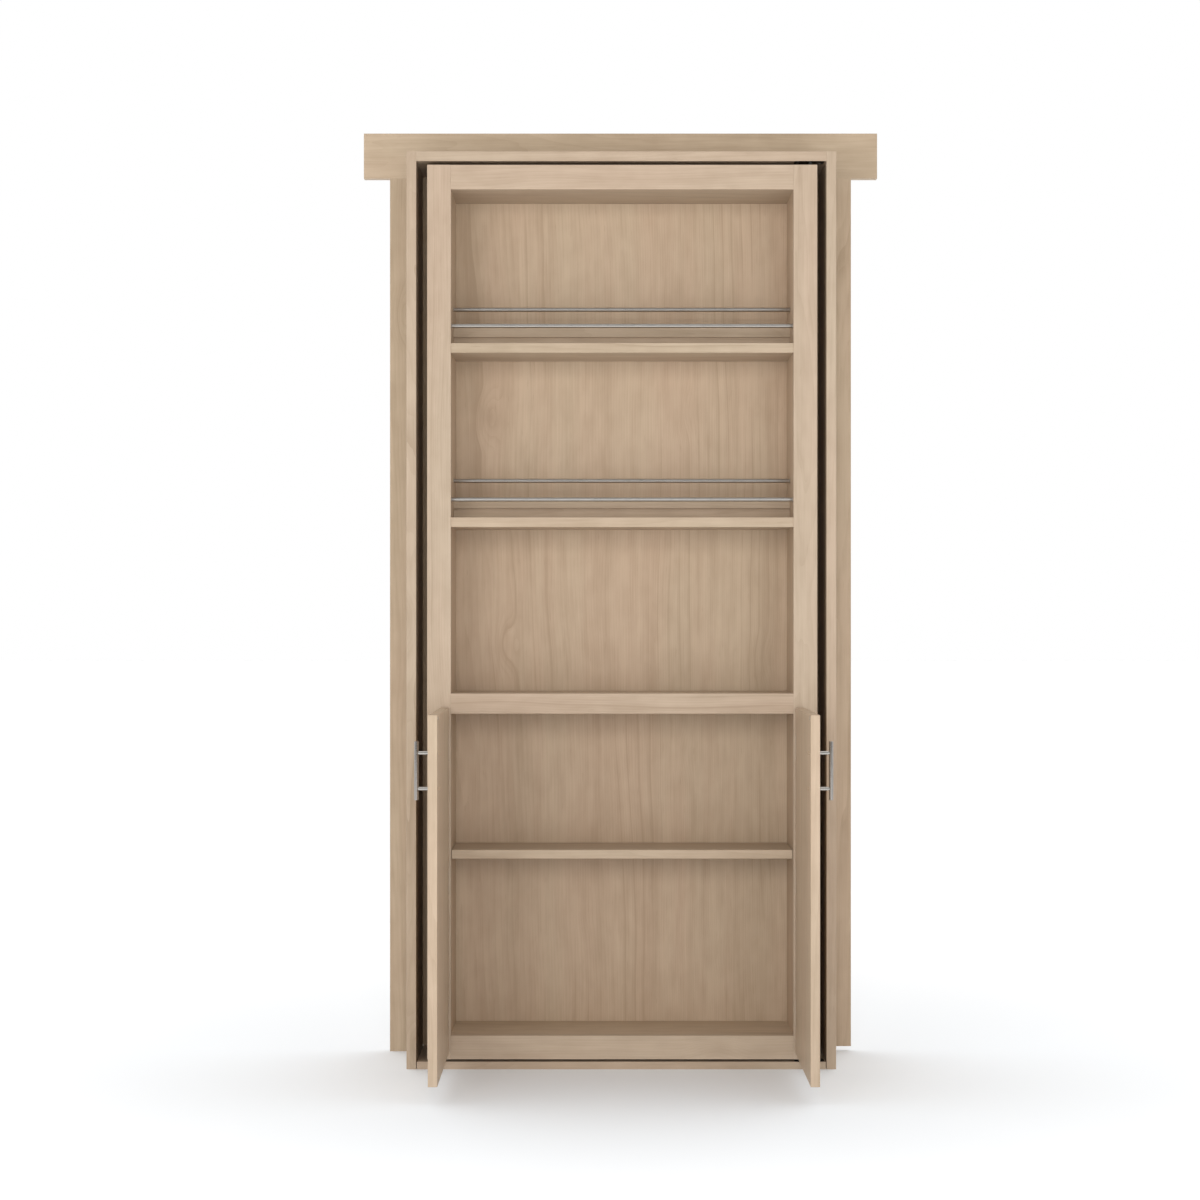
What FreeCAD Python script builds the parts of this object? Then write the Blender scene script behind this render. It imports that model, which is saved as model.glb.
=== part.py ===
"""Pantry cabinet that swings like a door in its own jamb.

Millimetres, +Z up.  The origin is on the floor, in the middle of the jamb's footprint.
X runs across the opening, and the shelves face -Y.  The two lower doors stand open at
their stops.
"""
import FreeCAD, Part
import math
import os

V = FreeCAD.Vector
X_AXIS = V(1, 0, 0)
Y_AXIS = V(0, 1, 0)
Z_AXIS = V(0, 0, 1)
LEFT = -1
RIGHT = 1

# ---- Driving dimensions ----------------------------------------------------------------
# Carcass
CABINET_W = 888.0
CABINET_H = 2036.0
CABINET_D = 213.0            # front of the face frame to the outside of the back
SIDE_T = 19.0                # outer side panels
LINER_T = 19.0               # inner side panels, flush with the face frame's opening
SPACER_W = 40.0              # battens between an outer side and its liner
BACK_T = 12.0
PANEL_T = 18.0               # cap, top, deck and base
GROOVE = 6.0                 # depth of the liners' grooves for fixed boards
EASE = 0.8                   # radius on the edges of boards

# Face frame
FRAME_T = 20.0
STILE_W = 54.0
TOP_RAIL_H = 56.0
MIDDLE_RAIL_H = 46.0
BOTTOM_RAIL_H = 54.0
DOOR_OPENING_H = 732.5

# Shelves
SHELF_T = 22.0
SHELF_SETBACK = 2.0          # fixed shelf's edge behind the front of the face frame
SPICE_BAY_H = 349.5          # under the top panel
BOTTLE_BAY_H = 375.0         # under the spice shelf
LOWER_SHELF_T = 20.0
LOWER_SHELF_RISE = 420.5     # top of the loose shelf above the deck
LOWER_SHELF_PLAY = 1.0       # around the loose shelf
SHELF_PIN_R = 2.5
SHELF_PIN_IN = 10.0          # length in the liner
SHELF_PIN_OUT = 9.0          # length under the shelf
SHELF_PIN_SETBACK = 40.0     # from the loose shelf's front and back edges

# Stepped tiers on the two upper shelves
STEP_SETBACK = 108.0         # tier's edge behind the front of the face frame
STEP_RISE = 48.0
STEP_T = 23.0
RISER_T = 18.0
RISER_SETBACK = 6.0

# Guard rods
ROD_R = 4.75
ROD_SET = 9.0                # rod's end inside the liner
SOCKET_R = 5.75
SOCKET_FLOOR = 1.5
FLANGE_R = 6.5
FLANGE_T = 1.0
FRONT_ROD_SETBACK = 26.0     # behind the front of the face frame
FRONT_ROD_RISE = 42.0        # above the shelf
BACK_ROD_RISE = 41.0         # above the tier
BACK_ROD_IN = 2.0            # behind the tier's edge

# Lower doors
DOOR_T = 20.0
OVERLAY = 14.0               # over the stile and over the middle rail
DOOR_FOOT = 15.5             # door's lower edge above the cabinet's
DOOR_MEET = 3.0              # between the closed doors
DOOR_GAP = 2.5               # closed door to the face frame
DOOR_OPEN = 90.0             # degrees from closed to the stop

# Door hinges
HINGE_IN = 4.75              # pin axis inside the door's hinge edge
HINGE_DEEP = 5.25            # pin axis inside the door's inner face
HINGE_FROM_END = 90.0
HINGE_PIN_R = 2.0
PIN_PLAY = 0.06
KNUCKLE_R = 4.5
KNUCKLE_GAP = 0.4
EYE_HALF = 10.0              # half height of the eye on the frame leaf
LEAF_HALF = 29.0             # half height of a leaf
LEAF_T = 2.0
LEAF_IN = 5.0                # frame leaf's inner edge outside the opening
LEAF_OUT = 40.0              # frame leaf's outer edge outside the opening
WEB_HALF = 2.2
MORTISE_IN = 16.0
MORTISE_DEEP = 12.0
MORTISE_PLAY = 2.0           # above and below a leaf
LEAF_EDGE = 0.5              # door leaf inside its mortise
LEAF_SCREW_R = 1.75
LEAF_SCREW_L = 16.0
LEAF_SCREWS = ((32.0, -20.0), (32.0, 20.0), (20.0, 0.0))   # outward of the opening, up
DOOR_SCREW_R = 1.5
DOOR_SCREW_L = 18.0
DOOR_SCREW_HALF_PITCH = 5.0

# Bar pulls
BAR_R = 4.75
BAR_L = 125.0
BAR_ROUND = 1.0
POST_R = 4.0
POST_PITCH = 76.0
HANDLE_REACH = 32.0          # door's face to the far side of the bar
HANDLE_IN = 45.0             # from the door's free edge
HANDLE_DROP = 120.0          # bar's middle below the door's top
HANDLE_SCREW_R = 2.0
HANDLE_SCREW_PLAY = 0.25
HANDLE_SCREW_GRIP = 12.0     # length in the post
HANDLE_HEAD_R = 3.8
HANDLE_HEAD_T = 2.2

# Bumpers
BUMPER_R = 4.0
BUMPER_GAP = 0.3
BUMPER_IN = 12.0             # from the door's free edge and foot

# Jamb, stops and casing
JAMB_T = 22.0
SILL_T = 17.0
SILL_PLAY = 1.5              # between each end of the sill and the leg
GAP_RIGHT = 21.0
GAP_BELOW = 5.5
GAP_ABOVE = 8.5
GAP_BEHIND = 3.0             # cabinet's back to the stops
SWING_CLEAR = 1.71           # far rear corner to the left leg while the cabinet turns
STOP_T = 12.0
STOP_OVERLAP = 12.0          # stop over the cabinet's back
REVEAL = 5.0                 # casing outside the jamb's inner face
CASING_W = 74.0
CASING_T = 18.0
CASING_RIGHT_LIFT = 12.0     # the right leg's foot above the floor
HEAD_CASING_H = 107.0
HEAD_CASING_T = 22.0
HEAD_CASING_OVERHANG = 62.0
JAMB_SCREW_R = 2.25
JAMB_SCREW_L = 50.0
JAMB_SCREW_PITCH = 60.0
MOUNT_HOLE_R = 2.75
MOUNT_HOLE_PITCH_Y = 140.0
MOUNT_HOLE_LOW = 300.0       # above the floor
MOUNT_HOLE_PITCH_Z = 1500.0

# Pivots of the whole cabinet
PIVOT_IN = 15.0              # axis inside the cabinet's right side
PIVOT_R = 4.0
PIVOT_PLAY = 0.05
PLATE_T = 3.0
PLATE_MARGIN = 4.0           # plate to the jamb leg
PLATE_LEFT = 36.0            # plate's left edge from the axis
PLATE_FRONT = 9.0
PLATE_BACK = 31.0
PLATE_CORNER = 5.0
PLATE_SCREW_R = 2.0
PLATE_SCREW_L = 13.0
PLATE_SCREWS = ((-28.0, 0.0), (-28.0, 22.0), (22.0, 22.0))  # from the axis
FLOOR_PIN_SET = 12.0         # floor pin below the sill's top
FLOOR_PIN_REACH = 28.0       # floor pin inside the cabinet
BUSH_R = 6.5
BUSH_L = 30.0
WASHER_R = 9.0
WASHER_PLAY = 0.3
FOOT_PLATE_T = 2.5
FOOT_PLATE_RIGHT = 13.0
FOOT_PLATE_BACK = 44.0
FOOT_SCREWS = ((-25.0, 20.0), (-25.0, 36.0), (6.0, 30.0))   # from the axis
HEAD_PIN_SET = 40.0          # head pin inside the cabinet
HEAD_PIN_REACH = 12.0        # head pin inside the jamb's head
HEAD_PIN_ROOM = 2.0          # around and above the pin's end

# Magnetic catches on the side away from the pivots
MAGNET_R = 5.0
MAGNET_DEEP = 8.0            # in the stop
MAGNET_GAP = 0.5             # to the catch plate
CATCH_PLATE_R = 5.5
CATCH_PLATE_T = 1.5
CATCH_FROM_END = 300.0

# Cuts and screw recesses
CUT_PAST = 1.0               # how far a cut runs past a face
PARALLEL = 0.99              # least cosine between an edge and the axis it runs along
RECESS_ARM = 1.2             # cross recess, in shank radii
RECESS_SLOT = 0.25
RECESS_DEEP = 0.6

# ---- Derived places --------------------------------------------------------------------
SWING_ARM = CABINET_W - PIVOT_IN
SWING_DEPTH = CABINET_D - FRAME_T / 2
GAP_LEFT = math.hypot(SWING_ARM, SWING_DEPTH) - SWING_ARM + SWING_CLEAR

JAMB_D = CABINET_D + GAP_BEHIND + STOP_T
FRONT = -JAMB_D / 2
REAR = JAMB_D / 2
JAMB_X = (GAP_LEFT + CABINET_W + GAP_RIGHT) / 2     # inner face of a leg
HEAD_Z = SILL_T + GAP_BELOW + CABINET_H + GAP_ABOVE
JAMB_TOP = HEAD_Z + JAMB_T

CAB_X0 = -JAMB_X + GAP_LEFT
CAB_X1 = JAMB_X - GAP_RIGHT
CAB_Z0 = SILL_T + GAP_BELOW
CAB_Z1 = CAB_Z0 + CABINET_H
CAB_BACK = FRONT + CABINET_D
FRAME_BACK = FRONT + FRAME_T
INNER_BACK = CAB_BACK - BACK_T
OPEN_X0 = CAB_X0 + STILE_W
OPEN_X1 = CAB_X1 - STILE_W

DECK_Z = CAB_Z0 + BOTTOM_RAIL_H
MIDDLE_RAIL_Z = DECK_Z + DOOR_OPENING_H
MIDDLE_Z = MIDDLE_RAIL_Z + MIDDLE_RAIL_H
CEILING_Z = CAB_Z1 - TOP_RAIL_H
SPICE_Z = CEILING_Z - SPICE_BAY_H
BOTTLE_Z = SPICE_Z - SHELF_T - BOTTLE_BAY_H
LOWER_Z = DECK_Z + LOWER_SHELF_RISE
LOWER_FRONT = FRAME_BACK + LOWER_SHELF_PLAY
LOWER_BACK = INNER_BACK - LOWER_SHELF_PLAY

STEP_FRONT = FRONT + STEP_SETBACK
FRONT_ROD_Y = FRONT + FRONT_ROD_SETBACK
BACK_ROD_Y = STEP_FRONT + BACK_ROD_IN

DOOR_W = (OPEN_X1 - OPEN_X0 + 2 * OVERLAY - DOOR_MEET) / 2
DOOR_Z0 = CAB_Z0 + DOOR_FOOT
DOOR_Z1 = MIDDLE_RAIL_Z + OVERLAY
DOOR_INNER = FRONT - DOOR_GAP
DOOR_OUTER = DOOR_INNER - DOOR_T
DOOR_FREE = OVERLAY - DOOR_W                       # free edge, outward of the opening
HINGE_U = OVERLAY - HINGE_IN
HINGE_Y = DOOR_INNER - HINGE_DEEP
HINGE_LEVELS = (DOOR_Z0 + HINGE_FROM_END, (DOOR_Z0 + DOOR_Z1) / 2, DOOR_Z1 - HINGE_FROM_END)
MORTISE_U = OVERLAY - MORTISE_IN
HANDLE_U = DOOR_FREE + HANDLE_IN
HANDLE_Z = DOOR_Z1 - HANDLE_DROP
BAR_Y = DOOR_OUTER - HANDLE_REACH + BAR_R

PIVOT_X = CAB_X1 - PIVOT_IN
PIVOT_Y = FRONT + FRAME_T / 2
CATCH_X = CAB_X0 + STOP_OVERLAP / 2
CATCH_LEVELS = (CAB_Z0 + CATCH_FROM_END, (CAB_Z0 + CAB_Z1) / 2, CAB_Z1 - CATCH_FROM_END)


# ---- Helpers ---------------------------------------------------------------------------
def box(x0, x1, y0, y1, z0, z1):
    """A box between two corners, whichever way round x0 and x1 are."""
    low = V(min(x0, x1), y0, z0)
    return Part.makeBox(abs(x1 - x0), y1 - y0, z1 - z0, low)


def edges_along(solid, axis):
    return [e for e in solid.Edges if abs(e.tangentAt(e.FirstParameter).dot(axis)) > PARALLEL]


def eased(solid, along=None):
    """Round the edges that run along an axis, or every edge."""
    return solid.makeFillet(EASE, solid.Edges if along is None else edges_along(solid, along))


def board(x0, x1, y0, y1, z0, z1, along):
    """A board with its four long edges eased."""
    return eased(box(x0, x1, y0, y1, z0, z1), along)


def pin(foot, way, length, r):
    return Part.makeCylinder(r, length, foot, way)


def ring(foot, way, length, outer, inner):
    return pin(foot, way, length, outer).cut(pin(foot, way, length, inner))


def screw_hole(seat, way, length, r):
    """The room of a countersunk screw whose head is flush at seat."""
    room = Part.makeCone(2 * r, r, r).fuse(Part.makeCylinder(r, length))
    room.Placement = FreeCAD.Placement(seat, FreeCAD.Rotation(Z_AXIS, way))
    return room


def screw(seat, way, length, r):
    """A countersunk screw with a cross recess."""
    arm = RECESS_ARM * r
    slot = RECESS_SLOT * r
    deep = RECESS_DEEP * r
    recess = [box(-arm, arm, -slot, slot, 0, deep), box(-slot, slot, -arm, arm, 0, deep)]
    body = Part.makeCone(2 * r, r, r).fuse(Part.makeCylinder(r, length)).cut(recess)
    body.Placement = FreeCAD.Placement(seat, FreeCAD.Rotation(Z_AXIS, way))
    return body


def holes(places):
    return [screw_hole(*place) for place in places]


def screws(places):
    return Part.makeCompound([screw(*place) for place in places])


# ---- Jamb, stops and casing ------------------------------------------------------------
def jamb_screw_places():
    """Screws through the legs into the ends of the head and of the sill."""
    places = []
    for side in (LEFT, RIGHT):
        for z in (SILL_T / 2, HEAD_Z + JAMB_T / 2):
            for y in (-JAMB_SCREW_PITCH, 0, JAMB_SCREW_PITCH):
                seat = V(side * (JAMB_X + JAMB_T), y, z)
                places.append((seat, V(-side, 0, 0), JAMB_SCREW_L, JAMB_SCREW_R))
    return places


def mount_hole_places(side):
    """Holes that take the screws into the studs, countersunk on the inner face."""
    places = []
    for z in (MOUNT_HOLE_LOW, MOUNT_HOLE_LOW + MOUNT_HOLE_PITCH_Z):
        for y in (-MOUNT_HOLE_PITCH_Y / 2, MOUNT_HOLE_PITCH_Y / 2):
            places.append((V(side * JAMB_X, y, z), V(side, 0, 0), 2 * JAMB_T, MOUNT_HOLE_R))
    return places


def jamb_leg(side):
    leg = board(side * JAMB_X, side * (JAMB_X + JAMB_T), FRONT, REAR, 0, JAMB_TOP, Z_AXIS)
    return leg.cut(holes(jamb_screw_places() + mount_hole_places(side)))


def jamb_head():
    head = board(-JAMB_X, JAMB_X, FRONT, REAR, HEAD_Z, JAMB_TOP, X_AXIS)
    room = pin(V(PIVOT_X, PIVOT_Y, HEAD_Z), Z_AXIS, HEAD_PIN_REACH + HEAD_PIN_ROOM,
               PIVOT_R + HEAD_PIN_ROOM)
    cuts = holes(jamb_screw_places() + head_plate_places())
    return head.cut(cuts + [room, plate_blank(HEAD_Z)])


def sill():
    end = JAMB_X - SILL_PLAY
    plank = board(-end, end, FRONT, REAR, 0, SILL_T, X_AXIS)
    cuts = holes(jamb_screw_places() + floor_plate_places())
    return plank.cut(cuts + [plate_blank(SILL_T - PLATE_T), floor_pin()])


def side_stop(side, gap):
    edge = side * (JAMB_X - gap - STOP_OVERLAP)
    stop = board(side * JAMB_X, edge, REAR - STOP_T, REAR, SILL_T, HEAD_Z, Z_AXIS)
    return stop.cut(catch_magnets())


def head_stop():
    x0 = -JAMB_X + GAP_LEFT + STOP_OVERLAP
    x1 = JAMB_X - GAP_RIGHT - STOP_OVERLAP
    return board(x0, x1, REAR - STOP_T, REAR, HEAD_Z - GAP_ABOVE - STOP_OVERLAP, HEAD_Z, X_AXIS)


def casing_leg(side):
    inner = side * (JAMB_X + REVEAL)
    outer = inner + side * CASING_W
    foot = CASING_RIGHT_LIFT if side == RIGHT else 0
    return board(inner, outer, REAR, REAR + CASING_T, foot, HEAD_Z, Z_AXIS)


def head_casing():
    end = JAMB_X + REVEAL + CASING_W + HEAD_CASING_OVERHANG
    slab = box(-end, end, REAR, REAR + HEAD_CASING_T, HEAD_Z, HEAD_Z + HEAD_CASING_H)
    return eased(slab)


# ---- Pivots of the cabinet -------------------------------------------------------------
def plate_blank(z):
    """A pivot plate with round corners and no holes."""
    blank = box(PIVOT_X - PLATE_LEFT, JAMB_X - PLATE_MARGIN, PIVOT_Y - PLATE_FRONT,
                PIVOT_Y + PLATE_BACK, z, z + PLATE_T)
    return blank.makeFillet(PLATE_CORNER, edges_along(blank, Z_AXIS))


def plate_places(z, way):
    return [(V(PIVOT_X + dx, PIVOT_Y + dy, z), way, PLATE_SCREW_L, PLATE_SCREW_R)
            for dx, dy in PLATE_SCREWS]


def floor_plate_places():
    return plate_places(SILL_T, V(0, 0, -1))


def head_plate_places():
    return plate_places(HEAD_Z, Z_AXIS)


def floor_pin():
    foot = V(PIVOT_X, PIVOT_Y, SILL_T - FLOOR_PIN_SET)
    return pin(foot, Z_AXIS, FLOOR_PIN_SET + GAP_BELOW + FLOOR_PIN_REACH, PIVOT_R)


def floor_plate():
    return plate_blank(SILL_T - PLATE_T).cut(holes(floor_plate_places()) + [floor_pin()])


def head_plate():
    bore = pin(V(PIVOT_X, PIVOT_Y, HEAD_Z), Z_AXIS, PLATE_T, PIVOT_R + PIVOT_PLAY)
    return plate_blank(HEAD_Z).cut(holes(head_plate_places()) + [bore])


def thrust_washer():
    foot = V(PIVOT_X, PIVOT_Y, SILL_T)
    return ring(foot, Z_AXIS, GAP_BELOW - WASHER_PLAY, WASHER_R, PIVOT_R)


def foot_bush_blank():
    return pin(V(PIVOT_X, PIVOT_Y, CAB_Z0), Z_AXIS, BUSH_L, BUSH_R)


def foot_bush():
    bore = pin(V(PIVOT_X, PIVOT_Y, CAB_Z0), Z_AXIS, BUSH_L, PIVOT_R + PIVOT_PLAY)
    return foot_bush_blank().cut(bore)


def foot_plate_blank():
    return box(PIVOT_X - PLATE_LEFT, PIVOT_X + FOOT_PLATE_RIGHT, PIVOT_Y - PLATE_FRONT,
               PIVOT_Y + FOOT_PLATE_BACK, CAB_Z0, CAB_Z0 + FOOT_PLATE_T)


def foot_plate_places():
    return [(V(PIVOT_X + dx, PIVOT_Y + dy, CAB_Z0), Z_AXIS, PLATE_SCREW_L, LEAF_SCREW_R)
            for dx, dy in FOOT_SCREWS]


def foot_plate():
    return foot_plate_blank().cut(holes(foot_plate_places()) + [foot_bush_blank()])


def head_pin():
    length = HEAD_PIN_SET + GAP_ABOVE + HEAD_PIN_REACH
    return pin(V(PIVOT_X, PIVOT_Y, CAB_Z1 - HEAD_PIN_SET), Z_AXIS, length, PIVOT_R)


def catch_magnets():
    """Round magnets that stand a little out of the left stop."""
    face = CAB_BACK + MAGNET_GAP
    length = REAR - STOP_T + MAGNET_DEEP - face
    return Part.makeCompound([pin(V(CATCH_X, face, z), Y_AXIS, length, MAGNET_R)
                              for z in CATCH_LEVELS])


def catch_plates():
    """Steel discs let into the cabinet's back opposite the magnets."""
    foot_y = CAB_BACK - CATCH_PLATE_T
    return Part.makeCompound([pin(V(CATCH_X, foot_y, z), Y_AXIS, CATCH_PLATE_T, CATCH_PLATE_R)
                              for z in CATCH_LEVELS])


# ---- Carcass ---------------------------------------------------------------------------
def end_panel(z0):
    """The base or the cap, between the outer sides."""
    return box(CAB_X0 + SIDE_T, CAB_X1 - SIDE_T, FRAME_BACK, INNER_BACK, z0, z0 + PANEL_T)


def fixed_panel(z0, z1):
    """A board across the inside, behind the face frame, its ends let into the liners."""
    return box(OPEN_X0 - GROOVE, OPEN_X1 + GROOVE, FRAME_BACK, INNER_BACK, z0, z1)


def fixed_shelf(top):
    """A shelf whose front part reaches forward between the stiles."""
    tongue = box(OPEN_X0, OPEN_X1, FRONT + SHELF_SETBACK, FRAME_BACK, top - SHELF_T, top)
    middle = (FRONT + FRAME_BACK) / 2
    nose = [e for e in edges_along(tongue, X_AXIS) if e.CenterOfMass.y < middle]
    tongue = tongue.makeFillet(EASE, nose)
    return tongue.fuse(fixed_panel(top - SHELF_T, top)).removeSplitter()


def grooved_boards():
    """The boards that the liners hold in grooves, by node name."""
    return {
        "top_panel": fixed_panel(CEILING_Z, CEILING_Z + PANEL_T),
        "spice_shelf": fixed_shelf(SPICE_Z),
        "bottle_shelf": fixed_shelf(BOTTLE_Z),
        "middle_shelf": fixed_panel(MIDDLE_Z - SHELF_T, MIDDLE_Z),
        "bottom_deck": fixed_panel(DECK_Z - PANEL_T, DECK_Z),
    }


def side_panel(side):
    outer = CAB_X0 if side == LEFT else CAB_X1
    panel = box(outer - side * SIDE_T, outer, FRAME_BACK, INNER_BACK, CAB_Z0, CAB_Z1)
    return panel.cut([foot_plate_blank()] + holes(foot_plate_places()))


def side_liner(side):
    """The inner side, which holds the shelves, the shelf pins and the rods."""
    panel = box(edge_x(side, 0), edge_x(side, LINER_T), FRAME_BACK, INNER_BACK,
                CAB_Z0 + PANEL_T, CAB_Z1 - PANEL_T)
    cuts = list(grooved_boards().values()) + [shelf_pins()] + socket_blanks()
    return panel.cut(cuts)


def side_spacers():
    """Two upright battens in the hollow between each outer side and its liner."""
    battens = []
    for side in (LEFT, RIGHT):
        for y in (FRAME_BACK, INNER_BACK - SPACER_W):
            battens.append(box(edge_x(side, LINER_T), edge_x(side, STILE_W - SIDE_T), y,
                               y + SPACER_W, CAB_Z0 + PANEL_T, CAB_Z1 - PANEL_T))
    return Part.makeCompound(battens)


def back_panel():
    panel = eased(box(CAB_X0, CAB_X1, INNER_BACK, CAB_BACK, CAB_Z0, CAB_Z1), Z_AXIS)
    return panel.cut(catch_plates())


def base_panel():
    return end_panel(CAB_Z0).cut([foot_plate_blank()] + holes(foot_plate_places()))


def stile(side):
    inner = OPEN_X0 if side == LEFT else OPEN_X1
    upright = board(inner, inner + side * STILE_W, FRONT, FRAME_BACK, CAB_Z0, CAB_Z1, Z_AXIS)
    cuts = holes(frame_leaf_places()) + [foot_plate_blank(), foot_bush_blank(), head_pin()]
    return upright.cut(cuts)


def rail(z0, z1):
    return board(OPEN_X0, OPEN_X1, FRONT, FRAME_BACK, z0, z1, X_AXIS)


def lower_shelf():
    return board(OPEN_X0 + LOWER_SHELF_PLAY, OPEN_X1 - LOWER_SHELF_PLAY, LOWER_FRONT,
                 LOWER_BACK, LOWER_Z - LOWER_SHELF_T, LOWER_Z, X_AXIS)


def shelf_pins():
    """Four pins in the liners, just under the loose shelf."""
    z = LOWER_Z - LOWER_SHELF_T - SHELF_PIN_R
    pins = []
    for face, way in ((OPEN_X0, 1), (OPEN_X1, -1)):
        for y in (LOWER_FRONT + SHELF_PIN_SETBACK, LOWER_BACK - SHELF_PIN_SETBACK):
            foot = V(face - way * SHELF_PIN_IN, y, z)
            pins.append(pin(foot, V(way, 0, 0), SHELF_PIN_IN + SHELF_PIN_OUT, SHELF_PIN_R))
    return Part.makeCompound(pins)


# ---- Tiers and guard rods --------------------------------------------------------------
def step_boards():
    tops = (SPICE_Z + STEP_RISE, BOTTLE_Z + STEP_RISE)
    return Part.makeCompound([board(OPEN_X0, OPEN_X1, STEP_FRONT, INNER_BACK, top - STEP_T, top,
                                    X_AXIS) for top in tops])


def step_risers():
    y = STEP_FRONT + RISER_SETBACK
    return Part.makeCompound([box(OPEN_X0, OPEN_X1, y, y + RISER_T, z, z + STEP_RISE - STEP_T)
                              for z in (SPICE_Z, BOTTLE_Z)])


def rod_places():
    """Depth and height of each guard rod, by node name."""
    back = STEP_RISE + BACK_ROD_RISE
    return {
        "front_rods": [(FRONT_ROD_Y, z + FRONT_ROD_RISE) for z in (SPICE_Z, BOTTLE_Z)],
        "back_rods": [(BACK_ROD_Y, z + back) for z in (SPICE_Z, BOTTLE_Z)],
    }


def guard_rod(y, z):
    return pin(V(OPEN_X0 - ROD_SET, y, z), X_AXIS, OPEN_X1 - OPEN_X0 + 2 * ROD_SET, ROD_R)


def socket_blanks():
    """A flanged plug, let into a liner, at each end of each rod."""
    blanks = []
    for y, z in sum(rod_places().values(), []):
        for face, way in ((OPEN_X0, 1), (OPEN_X1, -1)):
            depth = ROD_SET + SOCKET_FLOOR
            barrel = pin(V(face - way * depth, y, z), V(way, 0, 0), depth, SOCKET_R)
            flange = pin(V(face, y, z), V(way, 0, 0), FLANGE_T, FLANGE_R)
            blanks.append(barrel.fuse(flange))
    return blanks


def rod_sockets():
    rods = [guard_rod(y, z) for y, z in sum(rod_places().values(), [])]
    return Part.makeCompound([blank.cut(rods) for blank in socket_blanks()])


# ---- Lower doors, modelled closed and then turned open ---------------------------------
def edge_x(side, u):
    """X at a distance outward of the face frame's opening."""
    return OPEN_X0 - u if side == LEFT else OPEN_X1 + u


def hinge_point(side, z):
    return V(edge_x(side, HINGE_U), HINGE_Y, z)


def swung(shape, side):
    """Turn a piece of a closed door about its hinge line to the open stop."""
    turned = shape.copy()
    turned.rotate(hinge_point(side, 0), Z_AXIS, side * DOOR_OPEN)
    return turned


def knuckle(side, z0, z1, bore):
    return ring(hinge_point(side, z0), Z_AXIS, z1 - z0, KNUCKLE_R, bore)


def frame_leaf_places():
    """Screws that hold the frame leaves to the stiles."""
    places = []
    for side in (LEFT, RIGHT):
        for z in HINGE_LEVELS:
            for u, rise in LEAF_SCREWS:
                seat = V(edge_x(side, u), FRONT - LEAF_T, z + rise)
                places.append((seat, Y_AXIS, LEAF_SCREW_L, LEAF_SCREW_R))
    return places


def frame_leaf(side, z):
    """A plate on the stile with one eye that reaches forward to the pin."""
    plate = box(edge_x(side, LEAF_IN), edge_x(side, LEAF_OUT), FRONT - LEAF_T, FRONT,
                z - LEAF_HALF, z + LEAF_HALF)
    web = box(edge_x(side, HINGE_U - WEB_HALF), edge_x(side, HINGE_U + WEB_HALF), HINGE_Y,
              FRONT - LEAF_T, z - EYE_HALF, z + EYE_HALF)
    eye = pin(hinge_point(side, z - EYE_HALF), Z_AXIS, 2 * EYE_HALF, KNUCKLE_R)
    bore = pin(hinge_point(side, z - EYE_HALF), Z_AXIS, 2 * EYE_HALF, HINGE_PIN_R + PIN_PLAY)
    return plate.fuse([web, eye]).cut([bore] + holes(frame_leaf_places()))


def frame_leaves():
    return Part.makeCompound([frame_leaf(side, z) for side in (LEFT, RIGHT)
                              for z in HINGE_LEVELS])


def door_leaf_places(side):
    """Screws that hold the door leaves in their mortises."""
    seat_x = edge_x(side, MORTISE_U + LEAF_T)
    y = DOOR_INNER - MORTISE_DEEP / 2
    return [(V(seat_x, y, z + rise), V(-side, 0, 0), DOOR_SCREW_L, DOOR_SCREW_R)
            for z in HINGE_LEVELS
            for rise in (-DOOR_SCREW_HALF_PITCH, DOOR_SCREW_HALF_PITCH)]


def door_leaf(side, z):
    """A plate at the mortise's end with a knuckle above and below the frame's eye."""
    plate = box(edge_x(side, MORTISE_U), edge_x(side, MORTISE_U + LEAF_T),
                DOOR_INNER - MORTISE_DEEP + LEAF_EDGE, DOOR_INNER - LEAF_EDGE,
                z - LEAF_HALF, z + LEAF_HALF)
    near = EYE_HALF + KNUCKLE_GAP
    pieces = []
    for z0, z1 in ((z - LEAF_HALF, z - near), (z + near, z + LEAF_HALF)):
        pieces.append(box(edge_x(side, MORTISE_U + LEAF_T), edge_x(side, HINGE_U),
                          HINGE_Y - WEB_HALF, HINGE_Y + WEB_HALF, z0, z1))
        pieces.append(pin(hinge_point(side, z0), Z_AXIS, z1 - z0, KNUCKLE_R))
    return plate.fuse(pieces).cut([hinge_pins(side)] + holes(door_leaf_places(side)))


def hinge_pins(side):
    return Part.makeCompound([pin(hinge_point(side, z - LEAF_HALF), Z_AXIS, 2 * LEAF_HALF,
                                  HINGE_PIN_R) for z in HINGE_LEVELS])


def door_leaves(side):
    return Part.makeCompound([door_leaf(side, z) for z in HINGE_LEVELS])


def handle_post_levels():
    return (HANDLE_Z - POST_PITCH / 2, HANDLE_Z + POST_PITCH / 2)


def handle_bar(side):
    foot = V(edge_x(side, HANDLE_U), BAR_Y, HANDLE_Z - BAR_L / 2)
    bar = pin(foot, Z_AXIS, BAR_L, BAR_R)
    rims = [e for e in bar.Edges if len(e.Vertexes) == 1]
    return bar.makeFillet(BAR_ROUND, rims)


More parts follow.
